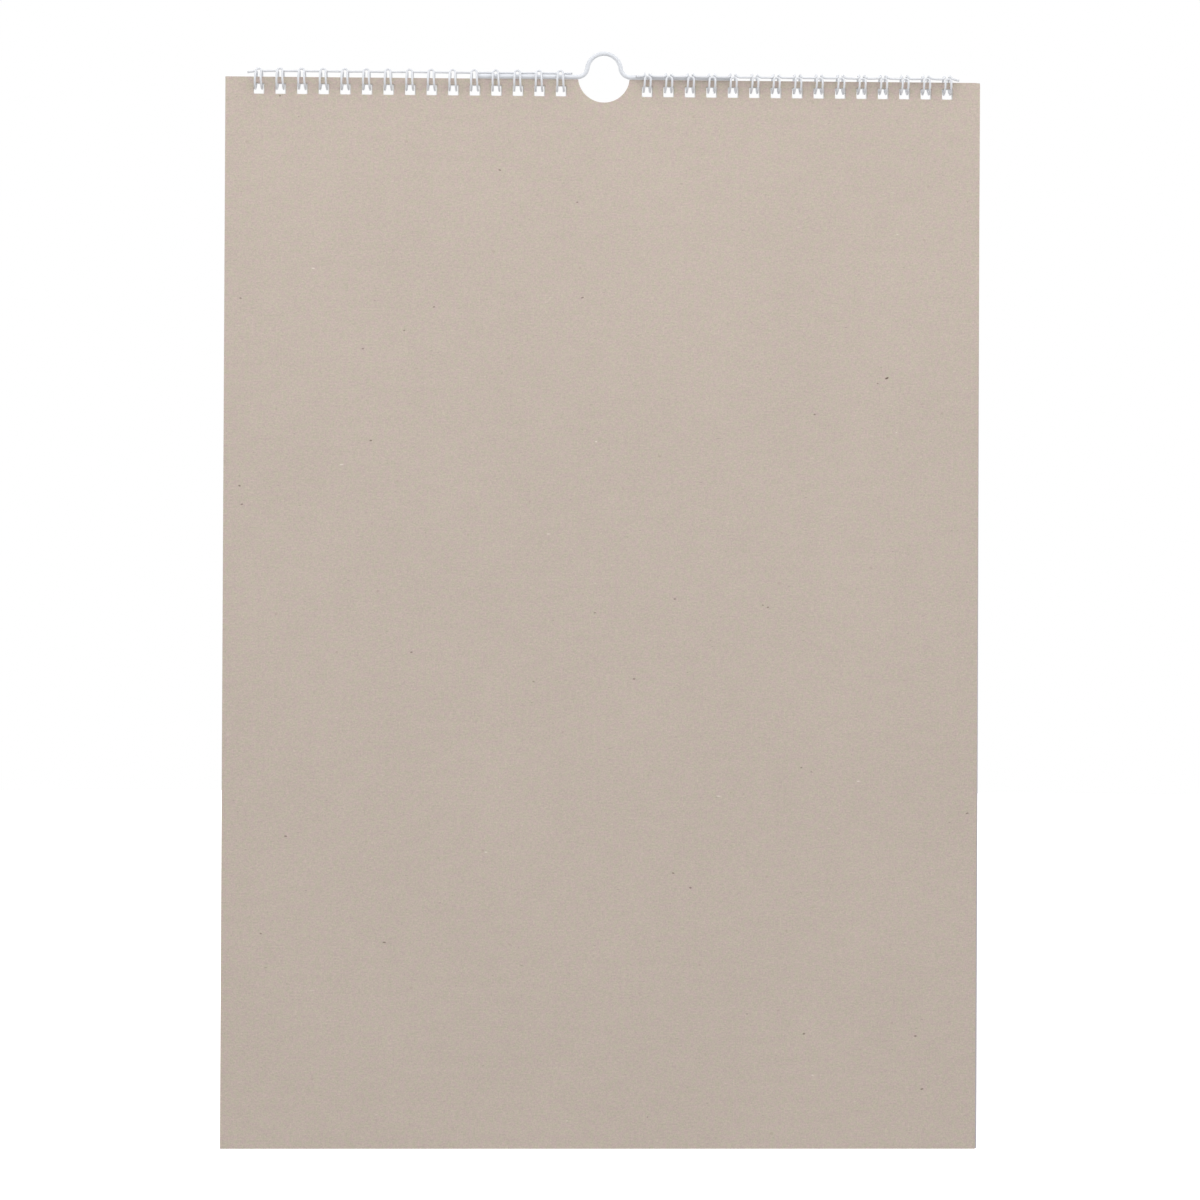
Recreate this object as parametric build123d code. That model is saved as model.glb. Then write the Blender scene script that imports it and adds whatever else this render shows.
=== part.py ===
from build123d import *

import os
from math import atan2, cos, degrees, radians, sin, sqrt

# Wall calendar: punched sheets on two lengths of twin-loop wire, with a bent wire hanger.
#
# Millimetres. +Z is up and the calendar hangs from its hanger. The printed front faces -Y and the
# greyboard back faces +Y, towards the wall. The origin is the nail seat, under the hanger's arch.
# Left and right are as seen from the printed front, so right is +X.

# Sheets
SHEET_WIDTH = 297.0
SHEET_HEIGHT = 420.0
BOARD_THICKNESS = 0.6
PAGES_THICKNESS = 1.3
COVER_THICKNESS = 0.2
BOARD_TO_PAGES = 0.02
PAGES_TO_COVER = 0.15

# Punching: square holes on a 3:1 pitch, and the half-round thumb notch
HOLE_PITCH = 25.4 / 3
HOLE_SIZE = 4.0
HOLE_MARGIN = 2.55
HOLES_PER_SIDE = 15
HOLES_SKIPPED = 3
NOTCH_WIDTH = 20.3
NOTCH_DEPTH = 9.0

# Twin-loop wire
LOOP_WIRE = 0.85
RING_BORE = 6.35
PAIR_SPACING = 2.4
ROOT_BEND = 1.5
SEAM_GAP = 0.1
TAIL_REACH = 4.5
RIGHT_SEAM_ANGLE = 110.0
LEFT_SEAM_ANGLE = 39.0

# Hanger
HANGER_WIRE = 1.75
HANGER_LENGTH = 100.0
ARCH_RADIUS = 6.6
ARCH_RISE = 9.3
FOOT_BEND = 4.0
ARM_TO_SHEETS = 0.055
ARM_TO_RING = 0.06

# Where the pieces meet, worked out from the sizes above. The hanger wire's axis and the board's
# rear face lie in the plane y = 0.
ARM_Z = HANGER_WIRE / 2 - ARCH_RISE
SHEET_TOP = ARM_Z - HANGER_WIRE / 2 - ARM_TO_SHEETS
HOLE_Z = SHEET_TOP - HOLE_MARGIN - HOLE_SIZE / 2
RING_RADIUS = (RING_BORE + LOOP_WIRE) / 2
RING_Z = HOLE_Z + RING_RADIUS
ARM_REACH = (RING_BORE - HANGER_WIRE) / 2 - ARM_TO_RING
RING_Y = -sqrt(ARM_REACH**2 - (ARM_Z - RING_Z) ** 2)
PAGES_REAR = -BOARD_THICKNESS - BOARD_TO_PAGES
COVER_REAR = PAGES_REAR - PAGES_THICKNESS - PAGES_TO_COVER


class BentWire:
    """A round wire made of straight runs and arcs, each tangent to the one before."""

    def __init__(self, start, heading, diameter):
        self.end = start
        self.heading = heading
        self.diameter = diameter
        self.lengths = []

    def section(self):
        """The wire's round section at its present end."""
        return Plane(self.end, z_dir=self.heading) * Circle(self.diameter / 2)

    def run(self, length):
        """Carry the wire straight on."""
        self.lengths.append(extrude(self.section(), amount=length))
        self.end = self.end + self.heading * length
        return self

    def bend(self, towards, radius, angle):
        """Bend the wire towards a direction square to its heading."""
        centre = self.end + towards * radius
        hinge = Axis(centre, self.heading.cross(towards))
        self.lengths.append(revolve(self.section(), hinge, revolution_arc=angle))
        self.end = centre + (self.end - centre).rotate(hinge, angle)
        self.heading = self.heading.rotate(hinge, angle)
        return self

    def solid(self):
        """All the lengths of wire as one solid."""
        return self.lengths[0].fuse(*self.lengths[1:])


def hole_places(side):
    """The x of each hole on one side, from the middle of the sheet outwards."""
    first = (HOLES_SKIPPED + 1) * HOLE_PITCH / 2
    return [side * (first + i * HOLE_PITCH) for i in range(HOLES_PER_SIDE)]


def punched_sheet(rear, thickness):
    """A sheet with its rear face at y = rear, punched for the wires and the thumb notch."""
    blank = Box(SHEET_WIDTH, thickness, SHEET_HEIGHT, align=(Align.CENTER, Align.MAX, Align.MAX))
    sheet = Pos(0, rear, SHEET_TOP) * blank
    notch_radius = (NOTCH_WIDTH**2 / 4 + NOTCH_DEPTH**2) / (2 * NOTCH_DEPTH)
    notch = Cylinder(notch_radius, 3 * thickness, rotation=(90, 0, 0))
    cuts = [Pos(0, rear, SHEET_TOP - NOTCH_DEPTH + notch_radius) * notch]
    punch = Box(HOLE_SIZE, 3 * thickness, HOLE_SIZE)
    cuts += [Pos(x, rear, HOLE_Z) * punch for side in (-1, 1) for x in hole_places(side)]
    return sheet - cuts


def ring_point(angle):
    """A point on the ring's centre line, from the angle above the rear."""
    turn = radians(angle)
    return Vector(0, RING_Y + RING_RADIUS * cos(turn), RING_Z + RING_RADIUS * sin(turn))


def ring_tangent(angle):
    """The way the ring runs there, from the rear over the top to the front."""
    return Vector(0, -sin(radians(angle)), cos(radians(angle)))


def inwards(angle):
    """The way from the ring to its own axis."""
    return Vector(0, -cos(radians(angle)), -sin(radians(angle)))


def twin_loop_wire(side, seam_angle):
    """One length of twin-loop wire, closed round through the holes of one side.

    The wire's spine runs straight from pair to pair. At each hole it bends into a loop of two
    legs, which go over the front, through the hole and up the rear, and end in a closed tip
    beside the spine.
    """
    along = Vector(1, 0, 0)
    half_pair = PAIR_SPACING / 2
    leg_start = seam_angle + degrees(ROOT_BEND / RING_RADIUS)
    leg_turn = 360 - degrees((ROOT_BEND + half_pair + SEAM_GAP) / RING_RADIUS)
    leg_end = leg_start + leg_turn
    root = half_pair + ROOT_BEND
    tail = TAIL_REACH - root
    places = sorted(hole_places(side))
    start = Vector(places[0] - TAIL_REACH, 0, 0) + ring_point(leg_start)
    start = start - ring_tangent(leg_start) * ROOT_BEND
    wire = BentWire(start, along, LOOP_WIRE).run(tail)
    for place in places:
        wire.bend(ring_tangent(leg_start), ROOT_BEND, 90)
        wire.bend(inwards(leg_start), RING_RADIUS, leg_turn)
        wire.bend(along, half_pair, 180)
        wire.bend(inwards(leg_end), RING_RADIUS, leg_turn)
        wire.bend(along, ROOT_BEND, 90)
        wire.run(tail if place == places[-1] else HOLE_PITCH - 2 * root)
    return wire.solid()


def hanger():
    """The hanger: two straight arms through the rings, and an arch between them for the nail."""
    arch_drop = ARCH_RISE - ARCH_RADIUS
    foot_reach = sqrt((ARCH_RADIUS + FOOT_BEND) ** 2 - (FOOT_BEND - arch_drop) ** 2)
    foot_turn = 90 - degrees(atan2(FOOT_BEND - arch_drop, foot_reach))
    arm = HANGER_LENGTH / 2 - foot_reach
    wire = BentWire(Vector(-HANGER_LENGTH / 2, 0, ARM_Z), Vector(1, 0, 0), HANGER_WIRE).run(arm)
    wire.bend(Vector(0, 0, 1), FOOT_BEND, foot_turn)
    towards_arch = wire.heading.rotate(Axis.Y, 90)
    wire.bend(towards_arch, ARCH_RADIUS, 2 * foot_turn)
    wire.bend(wire.heading.rotate(Axis.Y, -90), FOOT_BEND, foot_turn)
    return wire.run(arm).solid()


pieces = {
    "hanger": hanger(),
    "wire_right": twin_loop_wire(1, RIGHT_SEAM_ANGLE),
    "wire_left": twin_loop_wire(-1, LEFT_SEAM_ANGLE),
    "back_board": punched_sheet(0, BOARD_THICKNESS),
    "page_block": punched_sheet(PAGES_REAR, PAGES_THICKNESS),
    "cover_sheet": punched_sheet(COVER_REAR, COVER_THICKNESS),
}

os.makedirs("parts", exist_ok=True)
for name, shape in pieces.items():
    export_step(shape, f"parts/{name}.step")
    box = shape.bounding_box()
    print(name, "volume", round(shape.volume, 2), "from", tuple(box.min), "to", tuple(box.max))
print("ring axis y, z:", RING_Y, RING_Z, " sheets' top z:", SHEET_TOP, " arm z:", ARM_Z)
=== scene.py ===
from math import atan2, cos, pi, radians, sin

import bmesh
import bpy
from bpy.props import (
    FloatProperty,
    FloatVectorProperty,
    IntProperty,
    PointerProperty,
)
from mathutils import Matrix, Vector


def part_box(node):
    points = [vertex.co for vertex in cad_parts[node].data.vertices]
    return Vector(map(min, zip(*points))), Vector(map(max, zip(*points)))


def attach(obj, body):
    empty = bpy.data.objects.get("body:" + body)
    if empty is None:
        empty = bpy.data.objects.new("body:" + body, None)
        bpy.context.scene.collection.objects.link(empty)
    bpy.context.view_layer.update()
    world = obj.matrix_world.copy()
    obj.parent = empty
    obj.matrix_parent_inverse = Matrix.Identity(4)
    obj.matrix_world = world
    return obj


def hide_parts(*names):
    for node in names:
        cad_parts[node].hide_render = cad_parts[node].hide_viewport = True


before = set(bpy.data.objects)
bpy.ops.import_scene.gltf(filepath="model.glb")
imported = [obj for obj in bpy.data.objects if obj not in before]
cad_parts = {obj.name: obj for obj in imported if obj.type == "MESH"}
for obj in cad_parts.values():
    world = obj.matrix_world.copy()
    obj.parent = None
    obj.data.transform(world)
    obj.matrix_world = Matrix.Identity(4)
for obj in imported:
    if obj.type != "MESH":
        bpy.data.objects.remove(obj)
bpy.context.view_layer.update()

bl_info = {
    "name": "Wall Calendar",
    "version": (1, 0, 0),
    "blender": (4, 5, 0),
    "location": "View3D > Sidebar > Calendar",
    "description": "Punched sheets on twin-loop wire, with a bent wire hanger",
    "category": "Add Mesh",
}

MM = 0.001
BOARD_LOW, BOARD_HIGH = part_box("back_board")
PAGES_LOW, PAGES_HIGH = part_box("page_block")
COVER_LOW, COVER_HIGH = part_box("cover_sheet")
HANGER_LOW, HANGER_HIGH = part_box("hanger")
WIRE_LOW, WIRE_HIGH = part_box("wire_left")

HOLE_PITCH = 25.4 / 3 * MM
HOLE_COUNT = 15
FIRST_HOLE = 2 * HOLE_PITCH
RING_Y = (WIRE_LOW.y + WIRE_HIGH.y) / 2
RING_Z = (WIRE_LOW.z + WIRE_HIGH.z) / 2
RING_OUTER = (WIRE_HIGH.z - WIRE_LOW.z) / 2
SHEET_TOP = BOARD_HIGH.z
ARM_DIAMETER = HANGER_HIGH.y - HANGER_LOW.y
ARM_Z = HANGER_LOW.z + ARM_DIAMETER / 2

CORNER_STEPS, WORN_STEPS, NOTCH_STEPS = 4, 6, 72
LOOP_STEP = 0.05 * MM
ROOT_STEPS, BEND_STEPS, LEG_STEPS, TIP_STEPS = 6, 7, 60, 8
LOOP_SKEW = 0.012
REAR_ANGLE = radians(20)
NUMBER_OF_DAYS = 31
GRID_MARGIN, GRID_FOOT, GRID_TOP = 12 * MM, 16 * MM, 152 * MM
GRID_TO_PRINT = 13 * MM
FLOOR_RADIUS, FLOOR_SIDES = 8, 64
LENS, SENSOR_WIDTH = 108, 36
CAMERA_PLACE = (0.0437, 1.4132, -0.2288)
CAMERA_TURN = (radians(90.597), radians(-0.24), radians(178.2545))


def colour(name, description, value):
    """A colour that the user can change."""
    return FloatVectorProperty(name=name, description=description, subtype="COLOR",
                               size=3, min=0, max=1, default=value)


def length(name, description, value):
    """A length that the user can change."""
    return FloatProperty(name=name, description=description, subtype="DISTANCE",
                         unit="LENGTH", default=value, precision=5)


def angle(name, description, value):
    """An angle in degrees that the user can change."""
    return FloatProperty(name=name, description=description, subtype="ANGLE",
                         unit="ROTATION", default=radians(value))


class CalendarSheetSettings(bpy.types.PropertyGroup):
    """Sizes and colours of the board, the month sheets and the cover."""

    hole_size: length("Hole size", "Side of each square hole", 4.0 * MM)
    board_hole: length("Board hole", "Side of each square hole in the board", 4.3 * MM)
    hole_corner: length("Hole corner", "Radius in the corners of a hole", 0.35 * MM)
    notch_width: length("Notch width", "Width of the thumb notch at the top edge", 20.3 * MM)
    notch_depth: length("Notch depth", "Depth of the thumb notch", 9.0 * MM)
    edge_round: length("Edge rounding", "Rounding along the board's cut edges", 0.07 * MM)
    worn_width: length("Worn width", "Width of the worn corner at the board's upper left", 2.4 * MM)
    worn_depth: length("Worn depth", "Depth of the worn corner at the board's upper left", 0.5 * MM)
    board_taper: length("Board taper", "How much the board narrows to its lower left", 0.75 * MM)
    leaf_count: IntProperty(name="Leaves", description="Number of month sheets", default=12, min=1)
    leaf_stagger: length("Leaf stagger", "How far one leaf may lie beside another", 0.1 * MM)
    board_colour: colour("Board", "Greyboard", (0.566, 0.486, 0.421))
    board_pink: colour("Board, pinkish", "Reddish patches in the board", (0.572, 0.470, 0.430))
    board_green: colour("Board, greenish", "Yellowish patches in the board", (0.552, 0.496, 0.405))
    fleck_colour: colour("Dark flecks", "Dark fibres in the greyboard", (0.16, 0.11, 0.09))
    rust_colour: colour("Brown flecks", "Soft reddish specks in the greyboard", (0.36, 0.26, 0.20))
    pale_colour: colour("Pale flecks", "Pale fibres in the greyboard", (0.80, 0.74, 0.68))
    paper_colour: colour("Paper", "Month sheets", (0.86, 0.855, 0.84))
    # painted shade: a greyer strip down the sheets' sides stands for the shade on their edges where
    # they lie behind the board
    rim_colour: colour("Paper edge", "Greyer strip down the sheets' sides", (0.60, 0.58, 0.62))
    ink_colour: colour("Ink", "Numbers and lines", (0.035, 0.036, 0.040))
    rest_day_colour: colour("Rest days", "Numbers of the last column", (0.42, 0.045, 0.035))


class CalendarPrintSettings(bpy.types.PropertyGroup):
    """Colours of the plain shapes on the cover and on the first month sheet."""

    sky: colour("Sky", "Upper field", (0.62, 0.70, 0.72))
    disc: colour("Disc", "Round shape in the upper field", (0.83, 0.68, 0.42))
    far_hill: colour("Far field", "Middle field", (0.33, 0.45, 0.46))
    near_hill: colour("Near field", "Lower field", (0.135, 0.235, 0.25))
    margin: length("Margin", "Bare paper round the fields", 12 * MM)


class CalendarWireSettings(bpy.types.PropertyGroup):
    """Sizes and colour of the twin-loop wire."""

    diameter: length("Wire", "Diameter of the coated wire", 0.85 * MM)
    right_pair: length("Right pair", "Distance between the legs of a right loop", 2.0 * MM)
    left_pair: length("Left pair", "Distance between the legs of a left loop", 2.2 * MM)
    right_seam: angle("Right seam", "Place of the right wire's spine round its rings", 101)
    left_seam: angle("Left seam", "Place of the left wire's spine round its rings", 34)
    lean: length("Lean", "How far the loops lean outwards at the rear", 0.26 * MM)
    tilt: angle("Tilt", "Largest turn of one loop against the next", 2.2)
    sway: length("Sway", "Largest sideways shift of one loop", 0.05 * MM)
    wire_colour: colour("Coating", "White coating of the wire", (0.73, 0.745, 0.78))
    steel_colour: colour("Steel", "Cut ends of the wire", (0.30, 0.30, 0.31))


class CalendarHangerSettings(bpy.types.PropertyGroup):
    """Sizes and colour of the hanger."""

    arch_radius: length("Arch", "Radius of the arch, to the middle of the wire", 6.6 * MM)
    foot_bend: length("Foot bend", "Radius of the bends between arch and arms", 4.0 * MM)
    coat_colour: colour("Coating", "Off-white coating of the hanger", (0.74, 0.76, 0.80))


class CalendarStageSettings(bpy.types.PropertyGroup):
    """Floor, lamps and camera."""

    floor_drop: length("Floor", "Distance from the calendar down to the floor", 0.2)
    floor_colour: colour("Floor", "Pale floor", (0.80, 0.80, 0.80))
    side_power: FloatProperty(name="Side lamps", description="Power of each side lamp",
                              unit="POWER", default=3.55)
    top_power: FloatProperty(name="Top lamp", description="Power of the lamp above",
                             unit="POWER", default=1.5)
    ambient: FloatProperty(name="Ambient", description="Light from all round",
                           default=0.55, min=0)


def new_object(name, data):
    """A new object in the scene."""
    item = bpy.data.objects.new(name, data)
    bpy.context.scene.collection.objects.link(item)
    return item


def evaluated_mesh(source):
    """The plain mesh that an object comes to with its modifiers, or a text with its letters."""
    bpy.context.view_layer.update()
    depsgraph = bpy.context.evaluated_depsgraph_get()
    return bpy.data.meshes.new_from_object(source.evaluated_get(depsgraph), depsgraph=depsgraph)


def add(tree, kind, inputs=None, **settings):
    """Add a node. Each input is a value, or the socket that feeds it."""
    node = tree.nodes.new(kind)
    for name, value in settings.items():
        setattr(node, name, value)
    for name, value in (inputs or {}).items():
        socket = node.inputs[name]
        if isinstance(value, bpy.types.NodeSocket):
            tree.links.new(value, socket)
        else:
            socket.default_value = value
    return node


def get(tree, kind, inputs=None, **settings):
    """Add a node and give its first output."""
    return add(tree, kind, inputs, **settings).outputs[0]


def sums(tree, operation, *values):
    """The result of a Math node."""
    inputs = dict(enumerate(values))
    return get(tree, "ShaderNodeMath", inputs, operation=operation)


def product(tree, *values):
    """The product of two numbers."""
    return sums(tree, "MULTIPLY", *values)


def total(tree, *values):
    """The sum of two numbers."""
    return sums(tree, "ADD", *values)


def vectors(tree, operation, *values):
    """The vector from a Vector Math node."""
    inputs = dict(enumerate(values))
    return get(tree, "ShaderNodeVectorMath", inputs, operation=operation)


def scaled(tree, vector, factor):
    """A vector made longer or shorter."""
    inputs = {0: vector, "Scale": factor}
    return get(tree, "ShaderNodeVectorMath", inputs, operation="SCALE")


def combined(tree, **axes):
    """A vector from its parts x, y and z."""
    inputs = {name.upper(): value for name, value in axes.items()}
    return get(tree, "ShaderNodeCombineXYZ", inputs)


def separated(tree, vector):
    """The parts x, y and z of a vector."""
    return add(tree, "ShaderNodeSeparateXYZ", {0: vector}).outputs


def ramp(tree, value, low, high, to_low=0.0, to_high=1.0, smooth=True):
    """A number carried from one range to another and held within it."""
    inputs = {0: value, 1: low, 2: high, 3: to_low, 4: to_high}
    kind = "SMOOTHSTEP" if smooth else "LINEAR"
    return get(tree, "ShaderNodeMapRange", inputs, interpolation_type=kind)


def noise(tree, vector, scale, detail=2.0, roughness=0.5):
    """The grey value of a Noise Texture."""
    inputs = {"Vector": vector, "Scale": scale, "Detail": detail, "Roughness": roughness}
    return get(tree, "ShaderNodeTexNoise", inputs)


def mix(tree, factor, a, b, blend="MIX"):
    """A colour between two others."""
    inputs = {0: factor, 6: with_alpha(a), 7: with_alpha(b)}
    return add(tree, "ShaderNodeMix", inputs, data_type="RGBA", blend_type=blend).outputs[2]


def with_alpha(value):
    """A colour with its fourth number, or the socket as it is."""
    return value if isinstance(value, bpy.types.NodeSocket) else (*value, 1.0)


def grey(tree, value):
    """A grey colour from one number."""
    return get(tree, "ShaderNodeCombineColor", {0: value, 1: value, 2: value})


def new_material(name):
    """A material with its shader, and the surface's own place as a vector."""
    material = bpy.data.materials.new(name)
    material.use_nodes = True
    tree = material.node_tree
    shader = tree.nodes["Principled BSDF"]
    place = add(tree, "ShaderNodeTexCoord").outputs["Object"]
    return material, tree, shader, place


def bump(tree, shader, height, distance, strength=1.0):
    """Raise the surface by a height pattern."""
    inputs = {"Height": height, "Distance": distance, "Strength": strength}
    tree.links.new(get(tree, "ShaderNodeBump", inputs), shader.inputs["Normal"])


def flecks(tree, place, cell, stretch, turn, size, share):
    """Short fibres scattered over the surface, one or none in each cell of so many millimetres."""
    cell *= MM
    fineness = (1 / (cell * stretch), 1 / cell, 1 / cell)
    mapped = get(tree, "ShaderNodeMapping",
                 {"Vector": place, "Rotation": (0, turn, 0), "Scale": fineness})
    warp = add(tree, "ShaderNodeTexNoise",
               {"Vector": mapped, "Scale": 1.3, "Detail": 1.0}).outputs[1]
    bent = vectors(tree, "ADD", mapped, vectors(tree, "MULTIPLY", warp, (0.35, 0.35, 0.35)))
    cells = add(tree, "ShaderNodeTexVoronoi", {"Vector": bent, "Scale": 1.0})
    shape = ramp(tree, cells.outputs["Distance"], size, size * 0.45)
    chance = get(tree, "ShaderNodeSeparateColor", {0: cells.outputs["Color"]})
    return product(tree, shape, sums(tree, "LESS_THAN", chance, share))


def single_fleck(tree, place, x, z, long, wide, turn):
    """One larger fibre or speck at a place on the board, in millimetres."""
    local = vectors(tree, "SUBTRACT", place, (x * MM, 0, z * MM))
    rotated = get(tree, "ShaderNodeVectorRotate", {"Vector": local, "Angle": turn},
                  rotation_type="Y_AXIS")
    fitted = vectors(tree, "MULTIPLY", rotated, (2 / (long * MM), 0, 2 / (wide * MM)))
    reach = add(tree, "ShaderNodeVectorMath", {0: fitted}, operation="LENGTH").outputs["Value"]
    return ramp(tree, reach, 1.15, 0.6)


def greyboard_material(sheets):
    """Bare recycled greyboard: fibrous, mottled and flecked."""
    material, tree, shader, place = new_material("greyboard")
    rows = get(tree, "ShaderNodeMapping", {"Vector": place, "Scale": (0.4, 1, 1)})
    broad = noise(tree, place, 16, 3)
    tint = noise(tree, place, 420, 2, 0.6)
    tone = mix(tree, ramp(tree, tint, 0.38, 0.5), sheets.board_pink, sheets.board_colour)
    tone = mix(tree, ramp(tree, tint, 0.5, 0.62), tone, sheets.board_green)
    fibre = noise(tree, rows, 1500, 3, 0.6)
    grain = noise(tree, place, 1700, 3, 0.65)
    felt = noise(tree, rows, 260, 2, 0.55)
    value = total(tree, ramp(tree, fibre, 0.25, 0.75, -0.085, 0.085, False),
                  ramp(tree, grain, 0.25, 0.75, -0.15, 0.15, False))
    value = total(tree, value, ramp(tree, felt, 0.3, 0.7, -0.02, 0.02, False))
    value = total(tree, value, ramp(tree, broad, 0.3, 0.7, 0.985, 1.015, False))
    tone = mix(tree, 1.0, tone, grey(tree, value), "MULTIPLY")
    dark, rust, pale = sheets.fleck_colour, sheets.rust_colour, sheets.pale_colour
    # cell in mm, stretch, turn, size, share, colour, strength
    scattered = [
        (1.1, 3.0, 0.1, 0.16, 0.05, dark, 0.30),
        (1.4, 4.0, -0.7, 0.13, 0.035, dark, 0.38),
        (0.8, 1.4, 0.9, 0.18, 0.03, dark, 0.34),
        (1.3, 5.0, 0.25, 0.14, 0.06, pale, 0.38),
        (3.2, 1.6, 0.4, 0.14, 0.018, dark, 0.7),
        (6.0, 1.3, 0.7, 0.10, 0.22, rust, 0.28),
        (4.6, 2.5, -0.3, 0.08, 0.04, pale, 0.8),
    ]
    # x, z, length and width in mm, turn, colour, strength
    single = [
        (-112.0, -126.2, 1.7, 0.75, -0.45, dark, 1.0),
        (-108.4, -128.3, 0.8, 0.6, 0.2, dark, 0.6),
        (-63.4, -215.8, 0.75, 0.6, 0.0, dark, 0.65),
        (2.5, -151.8, 0.8, 0.6, 0.4, pale, 0.85),
    ]
    for make, rows_of_numbers in ((flecks, scattered), (single_fleck, single)):
        for *numbers, fleck_tone, strength in rows_of_numbers:
            mask = make(tree, place, *numbers)
            tone = mix(tree, product(tree, mask, strength), tone, fleck_tone)
    tree.links.new(tone, shader.inputs["Base Color"])
    shader.inputs["Roughness"].default_value = 0.94
    shader.inputs["Specular IOR Level"].default_value = 0.18
    height = total(tree, product(tree, fibre, 0.6), product(tree, grain, 0.5))
    bump(tree, shader, total(tree, height, felt), 0.02 * MM, 0.55)
    return material


def fine_paper(tree, place, tone, shader, roughness):
    """The faint unevenness of good paper over a printed or bare tone."""
    cloud = noise(tree, place, 90, 4)
    fibre = noise(tree, place, 1800, 3, 0.6)
    value = total(tree, ramp(tree, cloud, 0.3, 0.7, 0.985, 1.0, False),
                  ramp(tree, fibre, 0.3, 0.7, -0.012, 0.012, False))
    tree.links.new(mix(tree, 1.0, tone, grey(tree, value), "MULTIPLY"), shader.inputs["Base Color"])
    shader.inputs["Roughness"].default_value = roughness
    shader.inputs["Specular IOR Level"].default_value = 0.35
    bump(tree, shader, fibre, 0.006 * MM, 0.4)


def printed_fields(tree, place, prints, paper, low, high):
    """Plain shapes printed on a sheet: two soft hills and a disc under a pale field."""
    x, _, z = separated(tree, place)
    width, height = high.x - low.x, high.z - low.z
    soft = 0.12 * MM

    def below(edge):
        """1 where the sheet lies under a line, with a soft printed edge."""
        return ramp(tree, sums(tree, "SUBTRACT", z, edge), soft, -soft)

    def wave(base, rise, pitch, shift):
        """The height of a gently waving line."""
        turn = total(tree, product(tree, x, 2 * pi / pitch), shift)
        return total(tree, product(tree, sums(tree, "SINE", turn), rise), base)

    tone = mix(tree, ramp(tree, z, low.z, high.z, 0.0, 0.35), prints.sky, paper)
    across = sums(tree, "SUBTRACT", x, width * 0.17)
    up = sums(tree, "SUBTRACT", z, low.z + height * 0.70)
    square = total(tree, product(tree, across, across), product(tree, up, up))
    disc_size = width * 0.11
    disc = ramp(tree, sums(tree, "SQRT", square), disc_size + soft, disc_size - soft)
    tone = mix(tree, disc, tone, prints.disc)
    far = wave(low.z + height * 0.47, height * 0.055, width * 1.15, 0.8)
    tone = mix(tree, below(far), tone, prints.far_hill)
    near = wave(low.z + height * 0.27, height * 0.06, width * 1.5, 3.6)
    tone = mix(tree, below(near), tone, prints.near_hill)
    facing = separated(tree, add(tree, "ShaderNodeTexCoord").outputs["Normal"])[1]
    mask = ramp(tree, sums(tree, "ABSOLUTE", x), width / 2 + soft, width / 2 - soft)
    for part in (
        ramp(tree, z, low.z - soft, low.z + soft),
        ramp(tree, z, high.z + soft, high.z - soft),
        sums(tree, "LESS_THAN", facing, -0.5),
    ):
        mask = product(tree, mask, part)
    return mix(tree, mask, paper, tone)


def print_area(prints, box_low, box_high, foot):
    """The two corners of the fields printed on a sheet, so far above its lower edge."""
    low = Vector((box_low.x + prints.margin, 0, box_low.z + foot))
    high = Vector((box_high.x - prints.margin, 0, box_high.z - prints.margin * 1.9))
    return low, high


def cover_material(sheets, prints):
    """The cover: white paper with a satin print of plain shapes."""
    material, tree, shader, place = new_material("cover_print")
    area = print_area(prints, COVER_LOW, COVER_HIGH, prints.margin * 4)
    tone = printed_fields(tree, place, prints, sheets.paper_colour, *area)
    fine_paper(tree, place, tone, shader, 0.42)
    return material


def paper_material(sheets, prints):
    """The month sheets: bare white paper with a painted shade strip down their sides, and plain
    shapes over the first sheet's grid.
    """
    material, tree, shader, place = new_material("month_paper")
    area = print_area(prints, PAGES_LOW, PAGES_HIGH, GRID_TOP + GRID_TO_PRINT)
    tone = printed_fields(tree, place, prints, sheets.paper_colour, *area)
    side = sums(tree, "ABSOLUTE", separated(tree, place)[0])
    # painted shade: a strip along both side edges of the sheets is greyed, standing for the shade
    # behind the board
    rim = ramp(tree, side, PAGES_HIGH.x - 1.2 * MM, PAGES_HIGH.x - 0.7 * MM)
    tone = mix(tree, rim, tone, sheets.rim_colour)
    fine_paper(tree, place, tone, shader, 0.72)
    return material


def ink_material(name, tone):
    """Matt printing ink."""
    material, tree, shader, place = new_material(name)
    worn = ramp(tree, noise(tree, place, 2200, 2), 0.55, 0.8, 0, 0.12)
    tree.links.new(mix(tree, worn, tone, (0.5, 0.5, 0.5)), shader.inputs["Base Color"])
    shader.inputs["Roughness"].default_value = 0.6
    return material


def coating_material(name, tone, steel, ends, roughness):
    """A thin baked coating on wire, with bare steel at the cut ends."""
    material, tree, shader, place = new_material(name)
    x = separated(tree, place)[0]
    cloud = noise(tree, place, 500, 3)
    dulled = mix(tree, 0.5, tone, [c * 0.97 for c in tone])
    coat = mix(tree, ramp(tree, cloud, 0.35, 0.68), tone, dulled)
    left = ramp(tree, x, ends[0] + 0.03 * MM, ends[0] + 0.015 * MM)
    right = ramp(tree, x, ends[1] - 0.03 * MM, ends[1] - 0.015 * MM)
    bare = sums(tree, "MAXIMUM", left, right)
    tree.links.new(mix(tree, bare, coat, steel), shader.inputs["Base Color"])
    tree.links.new(bare, shader.inputs["Metallic"])
    gloss = ramp(tree, cloud, 0.3, 0.7, roughness - 0.05, roughness + 0.08)
    tree.links.new(gloss, shader.inputs["Roughness"])
    bump(tree, shader, noise(tree, place, 3500, 2), 0.004 * MM, 0.25)
    return material


def miters(points):
    """The way outwards at each corner of a closed line that runs anticlockwise."""
    result = []
    for i, here in enumerate(points):
        normals = []
        for start, end in ((points[i - 1], here), (here, points[(i + 1) % len(points)])):
            run = (Vector(end) - Vector(start)).normalized()
            normals.append(Vector((run.y, -run.x)))
        result.append((normals[0] + normals[1]) / (1 + normals[0].dot(normals[1])))
    return result


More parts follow.
